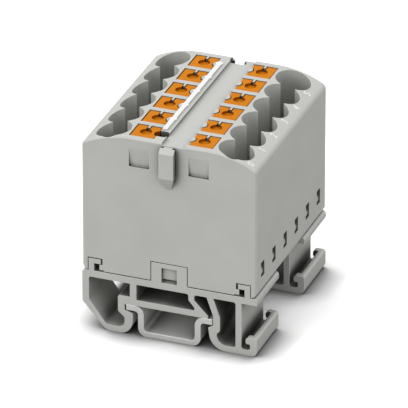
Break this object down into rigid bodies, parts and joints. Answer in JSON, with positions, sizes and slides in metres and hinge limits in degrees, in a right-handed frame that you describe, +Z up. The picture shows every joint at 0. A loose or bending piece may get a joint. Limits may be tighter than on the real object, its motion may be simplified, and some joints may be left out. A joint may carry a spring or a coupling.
{
  "type": "power distribution block",
  "caption": "Push-in power distribution block with an arched grey housing, orange release buttons, wire funnels and clip-on feet held on a small top-hat rail.",
  "frame": {"origin": "middle of the rail's underside, half way between the housing's front and back faces", "axes": "+Z up through the wire entries, +X across the rail, -Y towards the face with the lug"},
  "size_m": [0.0304, 0.0346, 0.0366],
  "materials": {
    "grey_plastic": "fine matte moulded",
    "foot_plastic": "fine matte moulded",
    "orange_plastic": "satin moulded",
    "white_plastic": "satin moulded",
    "tinned_copper": "tin-plated, dull",
    "spring_steel": "bright rolled",
    "rail_steel": "zinc-plated, satin"
  },
  "bodies": {
    "block": {"housing": "grey_plastic", "base_cover": "grey_plastic", "busbar": "tinned_copper", "marker_strip": "white_plastic", "foot_front": "foot_plastic", "foot_back": "foot_plastic", "mounting_rail": "rail_steel", "spring_l1": "spring_steel", "spring_l2": "spring_steel", "spring_l3": "spring_steel", "spring_l4": "spring_steel", "spring_l5": "spring_steel", "spring_l6": "spring_steel", "spring_r1": "spring_steel", "spring_r2": "spring_steel", "spring_r3": "spring_steel", "spring_r4": "spring_steel", "spring_r5": "spring_steel", "spring_r6": "spring_steel"},
    "button_l1": {"button_l1": "orange_plastic"},
    "button_l2": {"button_l2": "orange_plastic"},
    "button_l3": {"button_l3": "orange_plastic"},
    "button_l4": {"button_l4": "orange_plastic"},
    "button_l5": {"button_l5": "orange_plastic"},
    "button_l6": {"button_l6": "orange_plastic"},
    "button_r1": {"button_r1": "orange_plastic"},
    "button_r2": {"button_r2": "orange_plastic"},
    "button_r3": {"button_r3": "orange_plastic"},
    "button_r4": {"button_r4": "orange_plastic"},
    "button_r5": {"button_r5": "orange_plastic"},
    "button_r6": {"button_r6": "orange_plastic"}
  },
  "joints": [
    {"name": "press_l1", "type": "slide", "parent": "block", "child": "button_l1", "axis": [0, 0, -1], "range_m": [0, 0.0012], "stiffness_N_per_m": 2000, "springref_m": -0.002, "deforming": ["spring_l1"]},
    {"name": "press_l2", "type": "slide", "parent": "block", "child": "button_l2", "axis": [0, 0, -1], "range_m": [0, 0.0012], "stiffness_N_per_m": 2000, "springref_m": -0.002, "deforming": ["spring_l2"]},
    {"name": "press_l3", "type": "slide", "parent": "block", "child": "button_l3", "axis": [0, 0, -1], "range_m": [0, 0.0012], "stiffness_N_per_m": 2000, "springref_m": -0.002, "deforming": ["spring_l3"]},
    {"name": "press_l4", "type": "slide", "parent": "block", "child": "button_l4", "axis": [0, 0, -1], "range_m": [0, 0.0012], "stiffness_N_per_m": 2000, "springref_m": -0.002, "deforming": ["spring_l4"]},
    {"name": "press_l5", "type": "slide", "parent": "block", "child": "button_l5", "axis": [0, 0, -1], "range_m": [0, 0.0012], "stiffness_N_per_m": 2000, "springref_m": -0.002, "deforming": ["spring_l5"]},
    {"name": "press_l6", "type": "slide", "parent": "block", "child": "button_l6", "axis": [0, 0, -1], "range_m": [0, 0.0012], "stiffness_N_per_m": 2000, "springref_m": -0.002, "deforming": ["spring_l6"]},
    {"name": "press_r1", "type": "slide", "parent": "block", "child": "button_r1", "axis": [0, 0, -1], "range_m": [0, 0.0012], "stiffness_N_per_m": 2000, "springref_m": -0.002, "deforming": ["spring_r1"]},
    {"name": "press_r2", "type": "slide", "parent": "block", "child": "button_r2", "axis": [0, 0, -1], "range_m": [0, 0.0012], "stiffness_N_per_m": 2000, "springref_m": -0.002, "deforming": ["spring_r2"]},
    {"name": "press_r3", "type": "slide", "parent": "block", "child": "button_r3", "axis": [0, 0, -1], "range_m": [0, 0.0012], "stiffness_N_per_m": 2000, "springref_m": -0.002, "deforming": ["spring_r3"]},
    {"name": "press_r4", "type": "slide", "parent": "block", "child": "button_r4", "axis": [0, 0, -1], "range_m": [0, 0.0012], "stiffness_N_per_m": 2000, "springref_m": -0.002, "deforming": ["spring_r4"]},
    {"name": "press_r5", "type": "slide", "parent": "block", "child": "button_r5", "axis": [0, 0, -1], "range_m": [0, 0.0012], "stiffness_N_per_m": 2000, "springref_m": -0.002, "deforming": ["spring_r5"]},
    {"name": "press_r6", "type": "slide", "parent": "block", "child": "button_r6", "axis": [0, 0, -1], "range_m": [0, 0.0012], "stiffness_N_per_m": 2000, "springref_m": -0.002, "deforming": ["spring_r6"]}
  ]
}
